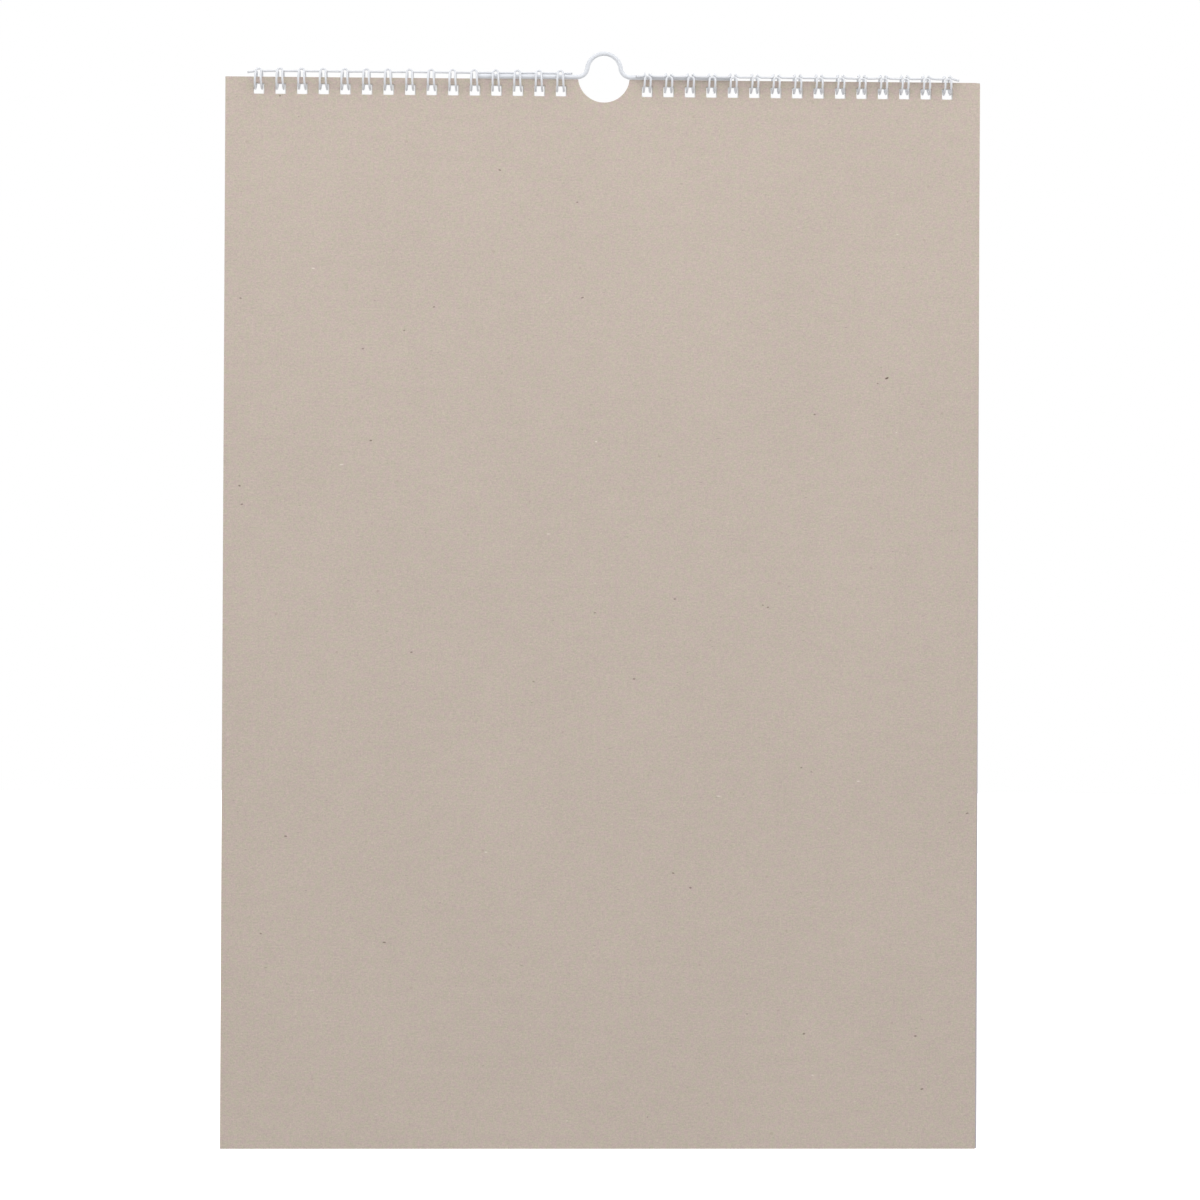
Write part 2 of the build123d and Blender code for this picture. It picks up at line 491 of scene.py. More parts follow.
def arc(centre, radius, start, end, steps):
    """Points along an arc, in the order given by its two angles."""
    turns = [start + (end - start) * i / steps for i in range(steps + 1)]
    return [(centre[0] + radius * cos(t), centre[1] + radius * sin(t)) for t in turns]


def sheet_outline(low, high, notch_width, notch_depth, corner, taper, worn):
    """The outline of a sheet with its thumb notch, run anticlockwise from the lower left."""
    notch_radius = (notch_width**2 / 4 + notch_depth**2) / (2 * notch_depth)
    middle = high.z - notch_depth + notch_radius
    side = atan2(high.z - middle, notch_width / 2)
    corners = [
        ((low.x + taper, low.z), pi),
        ((high.x, low.z), 1.5 * pi),
        ((high.x, high.z), 0),
        ((low.x, high.z), 0.5 * pi),
    ]
    points = []
    for i, ((x, z), turn) in enumerate(corners):
        inward = (1 if i in (0, 3) else -1, 1 if i in (0, 1) else -1)
        centre = (x + inward[0] * corner, z + inward[1] * corner)
        if i == 3 and worn:
            for k in range(WORN_STEPS + 1):
                t = pi / 2 * k / WORN_STEPS
                points.append((x + worn[0] * (1 - sin(t)), z - worn[1] * (1 - cos(t))))
            points.append((x, z - 2.2 * worn[1]))
        else:
            points += arc(centre, corner, turn, turn + pi / 2, CORNER_STEPS)
        if i == 2:
            points += arc((0, middle), notch_radius, side, -pi - side, NOTCH_STEPS)
    return points


def hole_outline(size, corner, shift):
    """The outline of one square hole with rounded corners, run anticlockwise."""
    reach = size / 2 - corner
    points = []
    for i, (x, z) in enumerate([(-1, -1), (1, -1), (1, 1), (-1, 1)]):
        start = pi + i * pi / 2
        centre = (x * reach + shift[0], z * reach + shift[1])
        points += arc(centre, corner, start, start + pi / 2, CORNER_STEPS)
    return points


def outline_mesh(name, outline, hole):
    """The sheet's outline and one hole as edges, with the way out of the paper at each point."""
    points, edges, outward, punch = [], [], [], []
    for line, way, is_hole in ((outline, 1, 0), (hole, -1, 1)):
        first = len(points)
        points += [(x, z, 0) for x, z in line]
        edges += [(first + i, first + (i + 1) % len(line)) for i in range(len(line))]
        outward += [(way * m.x, way * m.y, 0) for m in miters(line)]
        punch += [is_hole] * len(line)
    mesh = bpy.data.meshes.new(name)
    mesh.from_pydata(points, edges, [])
    ways = mesh.attributes.new("outward", "FLOAT_VECTOR", "POINT")
    ways.data.foreach_set("vector", [c for v in outward for c in v])
    mesh.attributes.new("punch", "INT", "POINT").data.foreach_set("value", punch)
    return mesh


def new_geometry_tree(name, sizes):
    """A Geometry Nodes tree with its named inputs, and its input and output nodes."""
    tree = bpy.data.node_groups.new(name, "GeometryNodeTree")
    tree.interface.new_socket("Geometry", in_out="INPUT", socket_type="NodeSocketGeometry")
    for label, kind in sizes:
        tree.interface.new_socket(label, in_out="INPUT", socket_type="NodeSocket" + kind)
    tree.interface.new_socket("Geometry", in_out="OUTPUT", socket_type="NodeSocketGeometry")
    return tree, tree.nodes.new("NodeGroupInput").outputs, tree.nodes.new("NodeGroupOutput")


def run_tree(name, mesh, tree, values):
    """Run a tree over a mesh and keep the result as an object with a plain mesh."""
    source = new_object(name + "_source", mesh)
    modifier = source.modifiers.new("build", "NODES")
    modifier.node_group = tree
    for item in tree.interface.items_tree:
        if item.in_out == "INPUT" and item.name in values:
            modifier[item.identifier] = values[item.name]
    result = evaluated_mesh(source)
    source.modifiers.remove(modifier)
    bpy.data.objects.remove(source)
    result.name = name
    if not result.polygons:
        raise RuntimeError(name + " came out empty")
    return new_object(name, result)


def named_attribute(tree, name, kind):
    """The value of a named attribute."""
    return get(tree, "GeometryNodeInputNamedAttribute", {"Name": name}, data_type=kind)


def store(tree, geometry, name, value, kind, domain):
    """The geometry with a value kept on it under a name."""
    inputs = {0: geometry, "Name": name, "Value": value}
    return get(tree, "GeometryNodeStoreNamedAttribute", inputs, data_type=kind,
               domain=domain)


def join(tree, *parts):
    """Several geometries as one."""
    joined = add(tree, "GeometryNodeJoinGeometry")
    for part in parts:
        tree.links.new(part, joined.inputs[0])
    return joined.outputs[0]


def move(tree, geometry, selection=None, **inputs):
    """The geometry, or the selected part of it, with its points moved."""
    given = {0: geometry, **inputs}
    if selection is not None:
        given[1] = selection
    return get(tree, "GeometryNodeSetPosition", given)


def realize(tree, geometry):
    """The geometry with its copies made real."""
    return get(tree, "GeometryNodeRealizeInstances", {0: geometry})


def finish_tree(tree, given, out, geometry):
    """End a tree: make its copies real and give them their material."""
    inputs = {0: realize(tree, geometry), "Material": given["Material"]}
    painted = get(tree, "GeometryNodeSetMaterial", inputs)
    tree.links.new(painted, out.inputs[0])


def sheet_tree():
    """The tree that punches a sheet and stacks its copies."""
    sizes = [
        ("Rear", "Float"), ("Thickness", "Float"), ("Edge rounding", "Float"),
        ("Hole height", "Float"), ("First hole", "Float"), ("Hole pitch", "Float"),
        ("Holes per side", "Int"), ("Leaves", "Int"), ("Leaf pitch", "Float"),
        ("Stagger", "Vector"), ("Seed", "Int"), ("Material", "Material"),
    ]
    tree, given, out = new_geometry_tree("punched_sheet", sizes)
    outward = named_attribute(tree, "outward", "FLOAT_VECTOR")
    is_hole = named_attribute(tree, "punch", "INT")
    parts = add(tree, "GeometryNodeSeparateGeometry", {0: given["Geometry"], 1: is_hole})
    rows = []
    for side in (-1, 1):
        start = combined(tree, x=product(tree, given["First hole"], side), y=given["Hole height"])
        step = combined(tree, x=product(tree, given["Hole pitch"], side))
        row = {"Count": given["Holes per side"], "Start Location": start, "Offset": step}
        rows.append(get(tree, "GeometryNodeMeshLine", row))
    punched = get(tree, "GeometryNodeInstanceOnPoints",
                  {"Points": join(tree, *rows), "Instance": parts.outputs[0]})
    lines = join(tree, realize(tree, punched), parts.outputs[1])
    inset = scaled(tree, outward, product(tree, given["Edge rounding"], -1))
    rim = move(tree, lines, Offset=inset)
    curves = get(tree, "GeometryNodeMeshToCurve", {0: rim})
    face = get(tree, "GeometryNodeFillCurve", {0: curves}, mode="TRIANGLES")
    rear = get(tree, "GeometryNodeFlipFaces", {0: face})
    lift = combined(tree, z=given["Thickness"])
    front = get(tree, "GeometryNodeTransform", {0: face, "Translation": lift})
    both_rounds = product(tree, given["Edge rounding"], 2)
    wall_height = sums(tree, "SUBTRACT", given["Thickness"], both_rounds)
    flat, full = 1 - cos(pi / 4), sin(pi / 4)
    # each step's rise and reach: round the rear edge, up the wall, round the front edge
    rises = [(flat, full), (1 - flat, 1 - full), (None, 0), (1 - flat, full - 1), (flat, -full)]
    wall, top = rim, True
    for rise, reach in rises:
        height = wall_height if rise is None else product(tree, given["Edge rounding"], rise)
        inputs = {0: wall, 1: top, 2: combined(tree, z=height), 3: 1.0}
        grown = add(tree, "GeometryNodeExtrudeMesh", inputs, mode="EDGES").outputs
        shift = scaled(tree, outward, product(tree, given["Edge rounding"], reach))
        kept = store(tree, grown[0], "edge", grown["Top"], "BOOLEAN", "EDGE")
        top = named_attribute(tree, "edge", "BOOLEAN")
        wall = move(tree, kept, top, Offset=shift)
    shell = [
        get(tree, "GeometryNodeSetShadeSmooth", {0: part, "Shade Smooth": smooth})
        for part, smooth in ((wall, True), (join(tree, rear, front), False))
    ]
    closed = get(tree, "GeometryNodeMergeByDistance",
                 {0: join(tree, *shell), "Distance": 1e-6})
    leaf_step = combined(tree, z=given["Leaf pitch"])
    stack = get(tree, "GeometryNodeMeshLine",
                {"Count": given["Leaves"], "Offset": leaf_step})
    shuffle = {0: scaled(tree, given["Stagger"], -1), 1: given["Stagger"], "Seed": given["Seed"]}
    shuffle = get(tree, "FunctionNodeRandomValue", shuffle, data_type="FLOAT_VECTOR")
    leaves = get(tree, "GeometryNodeInstanceOnPoints",
                 {"Points": move(tree, stack, Offset=shuffle), "Instance": closed})
    upright = get(tree, "GeometryNodeTransform", {
        0: leaves,
        "Translation": combined(tree, y=given["Rear"]),
        "Rotation": (pi / 2, 0, 0),
    })
    finish_tree(tree, given, out, upright)
    return tree


def punched_sheet(name, low, high, material, sheets, rounding, corner, hole, shift=(0, 0),
                  taper=0.0, worn=None, leaves=1, stagger=0.0, gap=0.0):
    """A punched sheet, or a stack of them, between two corners of a box."""
    thickness = (high.y - low.y - gap * (leaves - 1)) / leaves
    low = Vector((low.x + stagger, low.y, low.z + stagger))
    high = Vector((high.x - stagger, high.y, high.z - stagger / 4))
    notch = (sheets.notch_width, sheets.notch_depth)
    outline = sheet_outline(low, high, *notch, corner, taper, worn)
    mesh = outline_mesh(name + "_lines", outline, hole_outline(hole, sheets.hole_corner, shift))
    values = {
        "Rear": high.y,
        "Thickness": thickness,
        "Edge rounding": rounding,
        "Hole height": RING_Z - RING_OUTER + bpy.context.scene.calendar_wires.diameter / 2,
        "First hole": FIRST_HOLE,
        "Hole pitch": HOLE_PITCH,
        "Holes per side": HOLE_COUNT,
        "Leaves": leaves,
        "Leaf pitch": thickness + gap,
        "Stagger": (stagger, stagger / 4, 0.0),
        "Seed": 5,
        "Material": material,
    }
    piece = run_tree(name, mesh, sheet_tree(), values)
    shell = bmesh.new()
    shell.from_mesh(piece.data)
    bmesh.ops.recalc_face_normals(shell, faces=shell.faces)
    shell.to_mesh(piece.data)
    shell.free()
    return piece


def ring_section(seam, radius, let_out, slack, length):
    """Points at even steps round a ring, from its spine over the top and the front to the tips.

    After a distance of let_out the wire bends back a little, so that the tips stand off the ring.
    """
    y, z, heading = radius * cos(seam), radius * sin(seam), seam + pi / 2
    points = [(y, z)]
    for i in range(int(length / LOOP_STEP) + 2):
        bend = 1 / radius if i * LOOP_STEP < let_out else -slack
        heading += bend * LOOP_STEP / 2
        y, z = y + LOOP_STEP * cos(heading), z + LOOP_STEP * sin(heading)
        heading += bend * LOOP_STEP / 2
        points.append((y, z))
    return points


def loop_points(seam, radius, pair, form, lean):
    """The line of one loop, from the middle of the spine on its left to that on its right.

    Seam is the spine's place round the ring, from the rear over the top. The two legs go over the
    front, through the hole and up the rear, where a closed tip joins them beside the spine.
    """
    half, bend = pair / 2, form["bend"]
    root = HOLE_PITCH / 2 - half - bend
    leg_end = 2 * pi * radius - half - form["gap"]
    section = ring_section(seam, radius, leg_end - form["let_out"], form["slack"], leg_end + half)

    def place(side, x, run):
        """A point at a distance along the ring from the spine, on one side of the loop's middle."""
        turn = seam + run / radius
        lower = (1 - sin(turn)) / 2
        on_loop = min(1.0, max(0.0, (HOLE_PITCH / 2 - x) / root))
        rear = max(0.0, cos(turn - REAR_ANGLE))
        sideways = on_loop * lean * (0.15 + 0.85 * rear)
        i = min(int(run / LOOP_STEP), len(section) - 2)
        share = run / LOOP_STEP - i
        y, z = [a + (b - a) * share for a, b in zip(section[i], section[i + 1])]
        wider = on_loop * form["spread"] * lower
        return (side * (x + wider) + sideways, RING_Y + y, RING_Z + z)

    one_side = [(HOLE_PITCH / 2 - root * i / ROOT_STEPS, 0) for i in range(ROOT_STEPS)]
    for i in range(BEND_STEPS):
        t = pi / 2 * i / BEND_STEPS
        one_side.append((half + bend * (1 - sin(t)), bend * (1 - cos(t))))
    one_side += [(half, bend + (leg_end - bend) * i / LEG_STEPS) for i in range(LEG_STEPS)]
    for i in range(TIP_STEPS):
        t = pi / 2 * i / TIP_STEPS
        one_side.append((half * cos(t), leg_end + half * sin(t)))
    points = [place(-1, *point) for point in one_side]
    points.append(place(1, 0.0, leg_end + half))
    return points + [place(1, *point) for point in reversed(one_side)]


def thicken(tree, line, given, out, sides, end_size):
    """Give a curve the round section of wire, narrowed a little at its two cut ends."""
    line = get(tree, "GeometryNodeSetCurveRadius", {0: line, 2: 1.0})
    ends = get(tree, "GeometryNodeCurveEndpointSelection")
    line = get(tree, "GeometryNodeSetCurveRadius", {0: line, 1: ends, 2: end_size})
    radius = sums(tree, "DIVIDE", given["Wire diameter"], 2)
    section = get(tree, "GeometryNodeCurvePrimitiveCircle",
                  {"Resolution": sides, "Radius": radius})
    tube = get(tree, "GeometryNodeCurveToMesh", {
        "Curve": line,
        "Profile Curve": section,
        "Scale": get(tree, "GeometryNodeInputRadius"),
        "Fill Caps": True,
    })
    tube = get(tree, "GeometryNodeSetShadeSmooth", {0: tube, "Shade Smooth": True})
    finish_tree(tree, given, out, tube)


def wire_tree():
    """The tree that repeats a loop along the spine, varies it and gives the wire its thickness."""
    sizes = [
        ("Pitch", "Float"), ("Loops", "Int"), ("First loop", "Float"), ("Ring axis", "Vector"),
        ("Wire diameter", "Float"), ("Spine half", "Float"), ("Root reach", "Float"),
        ("Tilt", "Float"), ("Sway", "Float"), ("Skew", "Float"), ("Left tail", "Vector"),
        ("Right tail", "Vector"), ("Ring radius", "Float"), ("Odd loop", "Int"),
        ("Odd skew", "Float"), ("Odd drop", "Float"), ("Seed", "Int"), ("Material", "Material"),
    ]
    tree, given, out = new_geometry_tree("twin_loop_wire", sizes)
    position = get(tree, "GeometryNodeInputPosition")
    local = separated(tree, position)[0]
    unit = store(tree, given["Geometry"], "across", local, "FLOAT", "POINT")
    row = get(tree, "GeometryNodeMeshLine", {
        "Count": given["Loops"],
        "Start Location": combined(tree, x=given["First loop"]),
        "Offset": combined(tree, x=given["Pitch"]),
    })
    loops = get(tree, "GeometryNodeInstanceOnPoints", {"Points": row, "Instance": unit})
    index = get(tree, "GeometryNodeInputIndex")
    chain = realize(tree, store(tree, loops, "loop", index, "INT", "INSTANCE"))
    across = named_attribute(tree, "across", "FLOAT")
    loop = named_attribute(tree, "loop", "INT")
    weight = ramp(tree, sums(tree, "ABSOLUTE", across), given["Spine half"], given["Root reach"])

    def chance(most, salt):
        """A number for each loop, up to a size given and either way."""
        inputs = {2: product(tree, most, -1), 3: most, "ID": loop,
                  "Seed": total(tree, given["Seed"], salt)}
        return add(tree, "FunctionNodeRandomValue", inputs, data_type="FLOAT").outputs[1]

    turned = get(tree, "ShaderNodeVectorRotate", {
        "Vector": position,
        "Center": given["Ring axis"],
        "Angle": product(tree, chance(given["Tilt"], 0), weight),
    }, rotation_type="X_AXIS")
    height = separated(tree, vectors(tree, "SUBTRACT", position, given["Ring axis"]))[2]
    odd = sums(tree, "COMPARE", loop, given["Odd loop"], 0.1)
    own_skew = product(tree, odd, given["Odd skew"])
    skew = product(tree, total(tree, chance(given["Skew"], 7), own_skew), height)
    sideways = product(tree, total(tree, chance(given["Sway"], 3), skew), weight)
    lowest = product(tree, given["Ring radius"], -1)
    upper = ramp(tree, height, lowest, given["Ring radius"], smooth=False)
    drop = product(tree, product(tree, odd, given["Odd drop"]), product(tree, upper, weight))
    shift = combined(tree, x=sideways, z=product(tree, drop, -1))
    moved = vectors(tree, "ADD", turned, shift)
    last = sums(tree, "SUBTRACT", given["Loops"], 1)
    for side, which, tail in ((-1, 0, given["Left tail"]), (1, last, given["Right tail"])):
        outwards = product(tree, across, side)
        reach = ramp(tree, outwards, given["Root reach"], given["Spine half"], smooth=False)
        share = product(tree, reach, sums(tree, "COMPARE", loop, which, 0.1))
        moved = vectors(tree, "ADD", moved, scaled(tree, tail, share))
    placed = move(tree, chain, Position=moved)
    joined = get(tree, "GeometryNodeMergeByDistance", {0: placed, "Distance": 1e-5})
    line = get(tree, "GeometryNodeMeshToCurve", {0: joined})
    thicken(tree, line, given, out, 12, 0.9)
    return tree


def chain_mesh(name, points):
    """A line of points as a mesh of edges."""
    mesh = bpy.data.meshes.new(name)
    mesh.from_pydata(points, [(i, i + 1) for i in range(len(points) - 1)], [])
    return mesh


def loop_wire(side, seam, pair, form, tails, odd_loop, seed):
    """One length of twin-loop wire on the right (1) or the left (-1)."""
    wires = bpy.context.scene.calendar_wires
    name = "twin_loop_right" if side > 0 else "twin_loop_left"
    node = "wire_right" if side > 0 else "wire_left"
    radius = RING_OUTER - wires.diameter / 2
    points = loop_points(seam, radius, pair, form, side * wires.lean)
    first = FIRST_HOLE if side > 0 else -FIRST_HOLE - (HOLE_COUNT - 1) * HOLE_PITCH
    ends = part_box(node)
    material = coating_material(name + "_coating", wires.wire_colour, wires.steel_colour,
                                (ends[0].x + 0.24 * MM, ends[1].x - 0.24 * MM), 0.4)
    piece = run_tree(name, chain_mesh(name + "_line", points), wire_tree(), {
        "Pitch": HOLE_PITCH,
        "Loops": HOLE_COUNT,
        "First loop": first,
        "Ring axis": (0.0, RING_Y, RING_Z),
        "Wire diameter": wires.diameter,
        "Ring radius": radius,
        "Spine half": HOLE_PITCH / 2,
        "Root reach": pair / 2 + form["bend"],
        "Tilt": wires.tilt,
        "Sway": wires.sway,
        "Skew": LOOP_SKEW,
        "Left tail": tails[0],
        "Right tail": tails[1],
        "Odd loop": odd_loop[0],
        "Odd skew": odd_loop[1],
        "Odd drop": odd_loop[2],
        "Seed": seed,
        "Material": material,
    })
    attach(piece, node)
    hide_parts(node)
    return piece


def hanger_points(hanger):
    """The middle line of the hanger, from the left arm over the arch to the right arm."""
    top = HANGER_HIGH.z - ARM_DIAMETER / 2
    radius, bend = hanger.arch_radius, hanger.foot_bend
    drop = top - ARM_Z - radius
    reach = ((radius + bend) ** 2 - (bend - drop) ** 2) ** 0.5
    turn = pi / 2 - atan2(bend - drop, reach)
    end = HANGER_HIGH.x
    straight = [(-end, ARM_Z), (-end + 0.15 * MM, ARM_Z)]
    straight += [(-end + (end - reach) * i / 16, ARM_Z) for i in range(1, 16)]
    foot = arc((-reach, ARM_Z + bend), bend, -pi / 2, -pi / 2 + turn, 16)
    arch = arc((0, ARM_Z + drop), radius, pi / 2 + turn, pi / 2, 28)[1:]
    left = straight + foot + arch
    line = left + [(-x, z) for x, z in reversed(left[:-1])]
    return [(x, 0.0, z) for x, z in line]


def hanger_tree():
    """The tree that gives a bent line the thickness of coated wire."""
    sizes = [("Wire diameter", "Float"), ("Material", "Material")]
    tree, given, out = new_geometry_tree("bent_wire", sizes)
    line = get(tree, "GeometryNodeMeshToCurve", {0: given["Geometry"]})
    thicken(tree, line, given, out, 24, 0.84)
    return tree


def grid_faces(front, low, high, columns, rows, line):
    """The corners of the thin bars that rule a grid."""
    bars = []
    for i in range(columns + 1):
        x = low[0] + (high[0] - low[0]) * i / columns
        bars.append((x - line / 2, low[1] - line / 2, x + line / 2, high[1] + line / 2))
    for i in range(rows + 1):
        z = low[1] + (high[1] - low[1]) * i / rows
        bars.append((low[0], z - line / 2, high[0], z + line / 2))
    return [[(a, front, b), (c, front, b), (c, front, d), (a, front, d)] for a, b, c, d in bars]


def number_mesh(number, size):
    """A number as a flat mesh facing the front."""
    curve = bpy.data.curves.new("number", "FONT")
    curve.body = str(number)
    curve.size = size
    curve.resolution_u = 3
    text = new_object("number", curve)
    mesh = evaluated_mesh(text)
    bpy.data.objects.remove(text)
    mesh.transform(Matrix.Rotation(pi / 2, 4, "X"))
    return mesh


def print_month(pages, sheets, front):
    """Print a plain month grid with its numbers on the first sheet."""
    low = (PAGES_LOW.x + GRID_MARGIN, PAGES_LOW.z + GRID_FOOT)
    high = (PAGES_HIGH.x - GRID_MARGIN, PAGES_LOW.z + GRID_TOP)
    columns, rows, first_column = 7, 5, 2
    wide, tall = (high[0] - low[0]) / columns, (high[1] - low[1]) / rows
    ink = len(pages.data.materials)
    rest_day = ink + 1
    month = bmesh.new()
    month.from_mesh(pages.data)
    for corners in grid_faces(front, low, high, columns, rows, 0.25 * MM):
        month.faces.new([month.verts.new(c) for c in corners]).material_index = ink
    for day in range(1, NUMBER_OF_DAYS + 1):
        place = first_column + day - 1
        if place >= columns * rows:
            place -= columns
        column, row = place % columns, place // columns
        mesh = number_mesh(day, tall * 0.34)
        mesh.transform(Matrix.Translation((low[0] + wide * column + 2.5 * MM, front,
                                           high[1] - tall * row - tall * 0.36)))
        before = len(month.faces)
        month.from_mesh(mesh)
        month.faces.ensure_lookup_table()
        for face in month.faces[before:]:
            face.material_index = rest_day if column == columns - 1 else ink
        bpy.data.meshes.remove(mesh)
    pages.data.materials.append(ink_material("month_ink", sheets.ink_colour))
    pages.data.materials.append(ink_material("rest_day_ink", sheets.rest_day_colour))
    month.to_mesh(pages.data)
    month.free()


class CALENDAR_OT_back_board(bpy.types.Operator):
    """Make the greyboard back"""

    bl_idname = "calendar.back_board"
    bl_label = "Back Board"

    def execute(self, context):
        sheets = context.scene.calendar_sheets
        board = punched_sheet("greyboard_back", BOARD_LOW, BOARD_HIGH, greyboard_material(sheets),
                              sheets, sheets.edge_round, 0.12 * MM, sheets.board_hole,
                              shift=(-0.12 * MM, -0.06 * MM), taper=sheets.board_taper,
                              worn=(sheets.worn_width, sheets.worn_depth))
        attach(board, "back_board")
        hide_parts("back_board")
        return {"FINISHED"}


class CALENDAR_OT_month_sheets(bpy.types.Operator):
    """Make the month sheets and print the first of them"""

    bl_idname = "calendar.month_sheets"
    bl_label = "Month Sheets"

    def execute(self, context):
        sheets, prints = context.scene.calendar_sheets, context.scene.calendar_prints
        pages = punched_sheet("month_sheets", PAGES_LOW, PAGES_HIGH, paper_material(sheets, prints),
                              sheets, 0.01 * MM, 0.1 * MM, sheets.hole_size,
                              leaves=sheets.leaf_count, stagger=sheets.leaf_stagger, gap=0.012 * MM)
        print_month(pages, sheets, PAGES_LOW.y - 0.008 * MM)
        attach(pages, "page_block")
        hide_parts("page_block")
        return {"FINISHED"}


class CALENDAR_OT_cover(bpy.types.Operator):
    """Make the cover sheet"""

    bl_idname = "calendar.cover"
    bl_label = "Cover"

    def execute(self, context):
        sheets, prints = context.scene.calendar_sheets, context.scene.calendar_prints
        cover = punched_sheet("cover", COVER_LOW, COVER_HIGH, cover_material(sheets, prints),
                              sheets, 0.02 * MM, 0.1 * MM, sheets.hole_size)
        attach(cover, "cover_sheet")
        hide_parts("cover_sheet")
        return {"FINISHED"}


class CALENDAR_OT_loop_wires(bpy.types.Operator):
    """Make both lengths of twin-loop wire"""

    bl_idname = "calendar.loop_wires"
    bl_label = "Twin-loop Wires"

    def execute(self, context):
        wires = context.scene.calendar_wires
        # bend: of the legs at the spine; gap: from tips to spine; let_out and slack: of the tips;
        # spread: of the legs at the hole. The odd loop is the outermost: its number, skew and drop.
        right_form = {"bend": 0.8 * MM, "gap": 1.4 * MM, "let_out": 0.85 * MM, "slack": 0.3 / MM,
                      "spread": 0.3 * MM}
        right_tails = ((-0.25 * MM, 0, 0), (0.25 * MM, -0.3 * MM, -0.6 * MM))
        right_odd = (HOLE_COUNT - 1, -0.04, 0.1 * MM)
        left_form = {"bend": 1.5 * MM, "gap": 0.1 * MM, "let_out": 0.0, "slack": 0.05 / MM,
                     "spread": 0.12 * MM}
        left_tails = ((-0.25 * MM, 0.25 * MM, -0.6 * MM), (0.25 * MM, 0, 0))
        left_odd = (0, 0.03, 0.0)
        loop_wire(1, wires.right_seam, wires.right_pair, right_form, right_tails, right_odd, 11)
        loop_wire(-1, wires.left_seam, wires.left_pair, left_form, left_tails, left_odd, 23)
        return {"FINISHED"}


class CALENDAR_OT_hanger(bpy.types.Operator):
    """Make the bent wire hanger"""

    bl_idname = "calendar.hanger"
    bl_label = "Hanger"

    def execute(self, context):
        hanger, wires = context.scene.calendar_hanger, context.scene.calendar_wires
        material = coating_material("hanger_coating", hanger.coat_colour, wires.steel_colour,
                                    (HANGER_LOW.x, HANGER_HIGH.x), 0.42)
        line = chain_mesh("hanger_line", hanger_points(hanger))
        piece = run_tree("wire_hanger", line, hanger_tree(),
                         {"Wire diameter": ARM_DIAMETER, "Material": material})
        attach(piece, "hanger")
        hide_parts("hanger")
        return {"FINISHED"}


def area_lamp(name, place, target, size, power):
    """A square soft lamp aimed at a point."""
    data = bpy.data.lights.new(name, "AREA")
    data.shape = "SQUARE"
    data.size = size
    data.energy = power
    lamp = new_object(name, data)
    lamp.location = place
    lamp.rotation_euler = (Vector(target) - Vector(place)).to_track_quat("-Z", "Y").to_euler()


def white_to_camera(tree):
    """1 for what is seen directly, in a reflection or through glass, and 0 for light."""
    rays = add(tree, "ShaderNodeLightPath").outputs
    seen = sums(tree, "MAXIMUM", rays["Is Camera Ray"], rays["Is Glossy Ray"])
    return sums(tree, "MAXIMUM", seen, rays["Is Transmission Ray"])


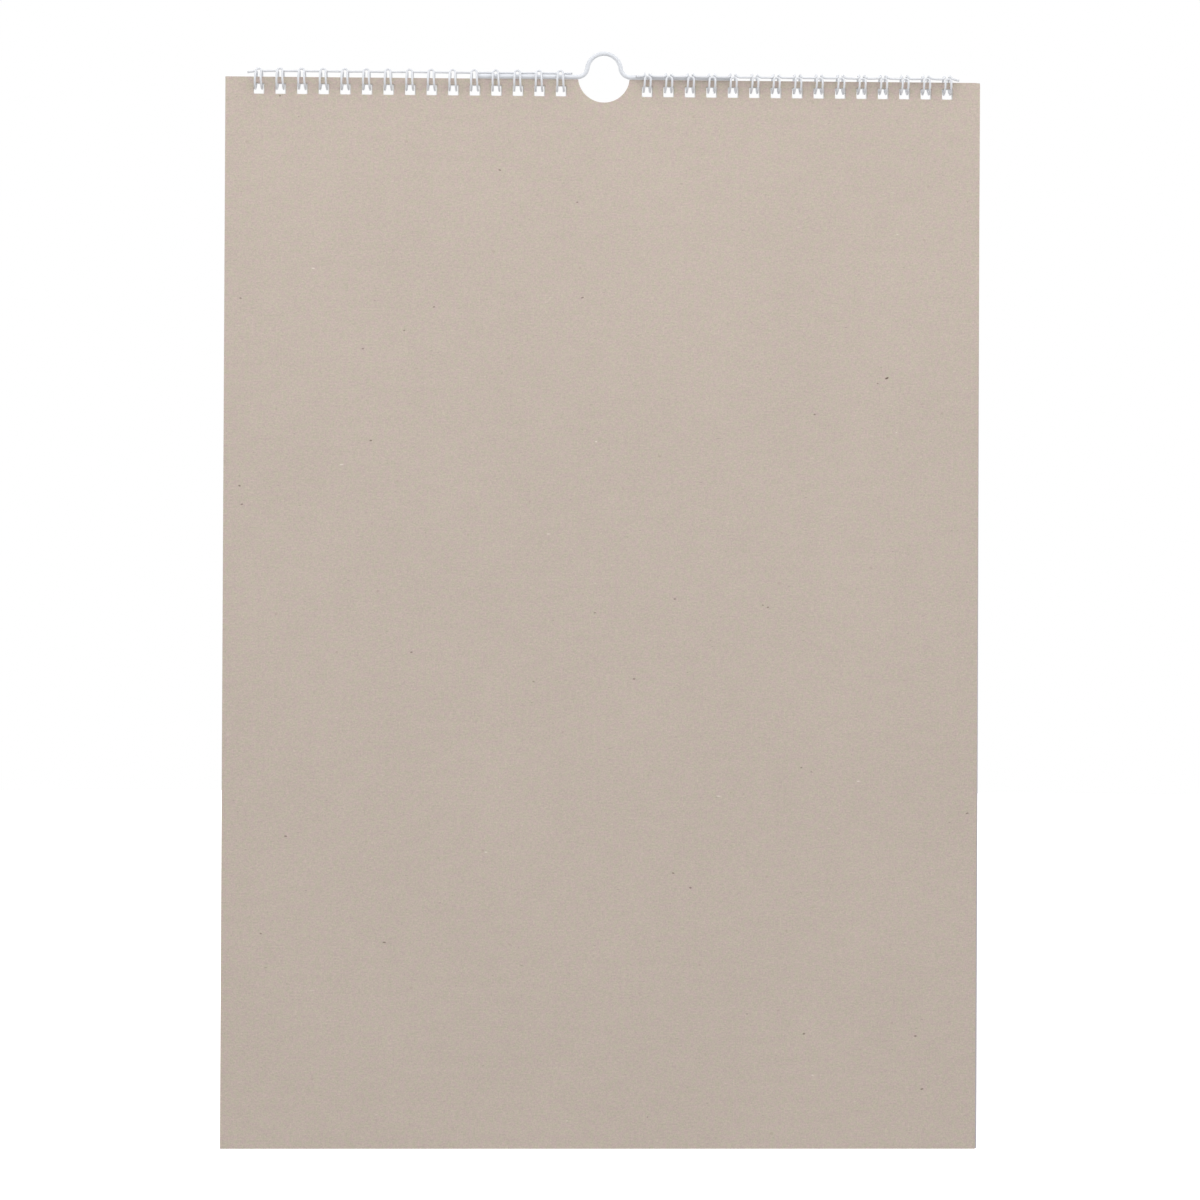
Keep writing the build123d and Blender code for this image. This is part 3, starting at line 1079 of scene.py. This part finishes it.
class CALENDAR_OT_stage(bpy.types.Operator):
    """Set out the floor, the lamps and the camera"""

    bl_idname = "calendar.stage"
    bl_label = "Stage"

    def execute(self, context):
        stage = context.scene.calendar_stage
        scene = context.scene
        scene.view_settings.view_transform = "Standard"
        world = bpy.data.worlds.new("studio")
        world.use_nodes = True
        tree = world.node_tree
        background = tree.nodes["Background"]
        background.inputs["Color"].default_value = (1, 1, 1, 1)
        strength = ramp(tree, white_to_camera(tree), 0, 1, stage.ambient, 1.0, False)
        tree.links.new(strength, background.inputs["Strength"])
        scene.world = world
        self.floor(stage)
        # x, y and height above the sheets, height of the target below their top, size, power
        side, top, front = stage.side_power, stage.top_power, stage.side_power * 1.6
        for name, x, y, rise, target, size, power in (
            ("side_lamp", -0.55, 0.5, 0.45, 0.14, 0.9, side),
            ("side_lamp", 0.55, 0.5, 0.45, 0.14, 0.9, side),
            ("top_lamp", 0, 0.75, 0.85, 0.14, 1.2, top),
            ("front_lamp", 0.3, -1.3, 0.3, 0.24, 1.2, front),
        ):
            area_lamp(name, (x, y, SHEET_TOP + rise), (0, 0, SHEET_TOP - target), size, power)
        data = bpy.data.cameras.new("camera")
        data.lens = LENS
        data.sensor_width = SENSOR_WIDTH
        camera = new_object("camera", data)
        camera.location = CAMERA_PLACE
        camera.rotation_euler = CAMERA_TURN
        scene.camera = camera
        return {"FINISHED"}

    def floor(self, stage):
        """A broad pale floor that keeps the calendar's shadow and fades to white far away."""
        top = BOARD_LOW.z - stage.floor_drop
        mesh = bpy.data.meshes.new("floor")
        turns = [2 * pi * i / FLOOR_SIDES for i in range(FLOOR_SIDES)]
        rim = [(FLOOR_RADIUS * cos(t), FLOOR_RADIUS * sin(t), top) for t in turns]
        mesh.from_pydata(rim, [], [list(range(FLOOR_SIDES))])
        material, tree, shader, place = new_material("pale_floor")
        shader.inputs["Base Color"].default_value = (*stage.floor_colour, 1)
        shader.inputs["Roughness"].default_value = 0.9
        level = vectors(tree, "MULTIPLY", place, (1, 1, 0))
        far = add(tree, "ShaderNodeVectorMath", {0: level}, operation="LENGTH")
        lift = ramp(tree, far.outputs["Value"], 0.5, 1.6, 0.35, 1.0)
        glow = product(tree, white_to_camera(tree), lift)
        shader.inputs["Emission Color"].default_value = (1, 1, 1, 1)
        tree.links.new(glow, shader.inputs["Emission Strength"])
        mesh.materials.append(material)
        floor = new_object("floor", mesh)


class CALENDAR_PT_panel(bpy.types.Panel):
    """The calendar's pieces and settings in the sidebar"""

    bl_label = "Wall Calendar"
    bl_idname = "CALENDAR_PT_panel"
    bl_space_type = "VIEW_3D"
    bl_region_type = "UI"
    bl_category = "Calendar"

    def draw(self, context):
        layout = self.layout
        for operator in OPERATORS:
            layout.operator(operator.bl_idname)
        for name, _ in SETTINGS:
            group = getattr(context.scene, name)
            box = layout.box()
            for item in group.bl_rna.properties:
                if item.identifier not in ("rna_type", "name"):
                    box.prop(group, item.identifier)


SETTINGS = (
    ("calendar_sheets", CalendarSheetSettings),
    ("calendar_prints", CalendarPrintSettings),
    ("calendar_wires", CalendarWireSettings),
    ("calendar_hanger", CalendarHangerSettings),
    ("calendar_stage", CalendarStageSettings),
)
OPERATORS = (
    CALENDAR_OT_back_board,
    CALENDAR_OT_month_sheets,
    CALENDAR_OT_cover,
    CALENDAR_OT_loop_wires,
    CALENDAR_OT_hanger,
    CALENDAR_OT_stage,
)


def register():
    """Register the settings, the operators and the panel."""
    for name, group in SETTINGS:
        bpy.utils.register_class(group)
        setattr(bpy.types.Scene, name, PointerProperty(type=group))
    for item in (*OPERATORS, CALENDAR_PT_panel):
        bpy.utils.register_class(item)


def unregister():
    """Take away what register() added."""
    for item in reversed((*OPERATORS, CALENDAR_PT_panel)):
        bpy.utils.unregister_class(item)
    for name, group in reversed(SETTINGS):
        delattr(bpy.types.Scene, name)
        bpy.utils.unregister_class(group)


def main():
    """Make the calendar and its stage."""
    register()
    bpy.ops.calendar.back_board()
    bpy.ops.calendar.month_sheets()
    bpy.ops.calendar.cover()
    bpy.ops.calendar.loop_wires()
    bpy.ops.calendar.hanger()
    bpy.ops.calendar.stage()


if __name__ == "__main__":
    main()
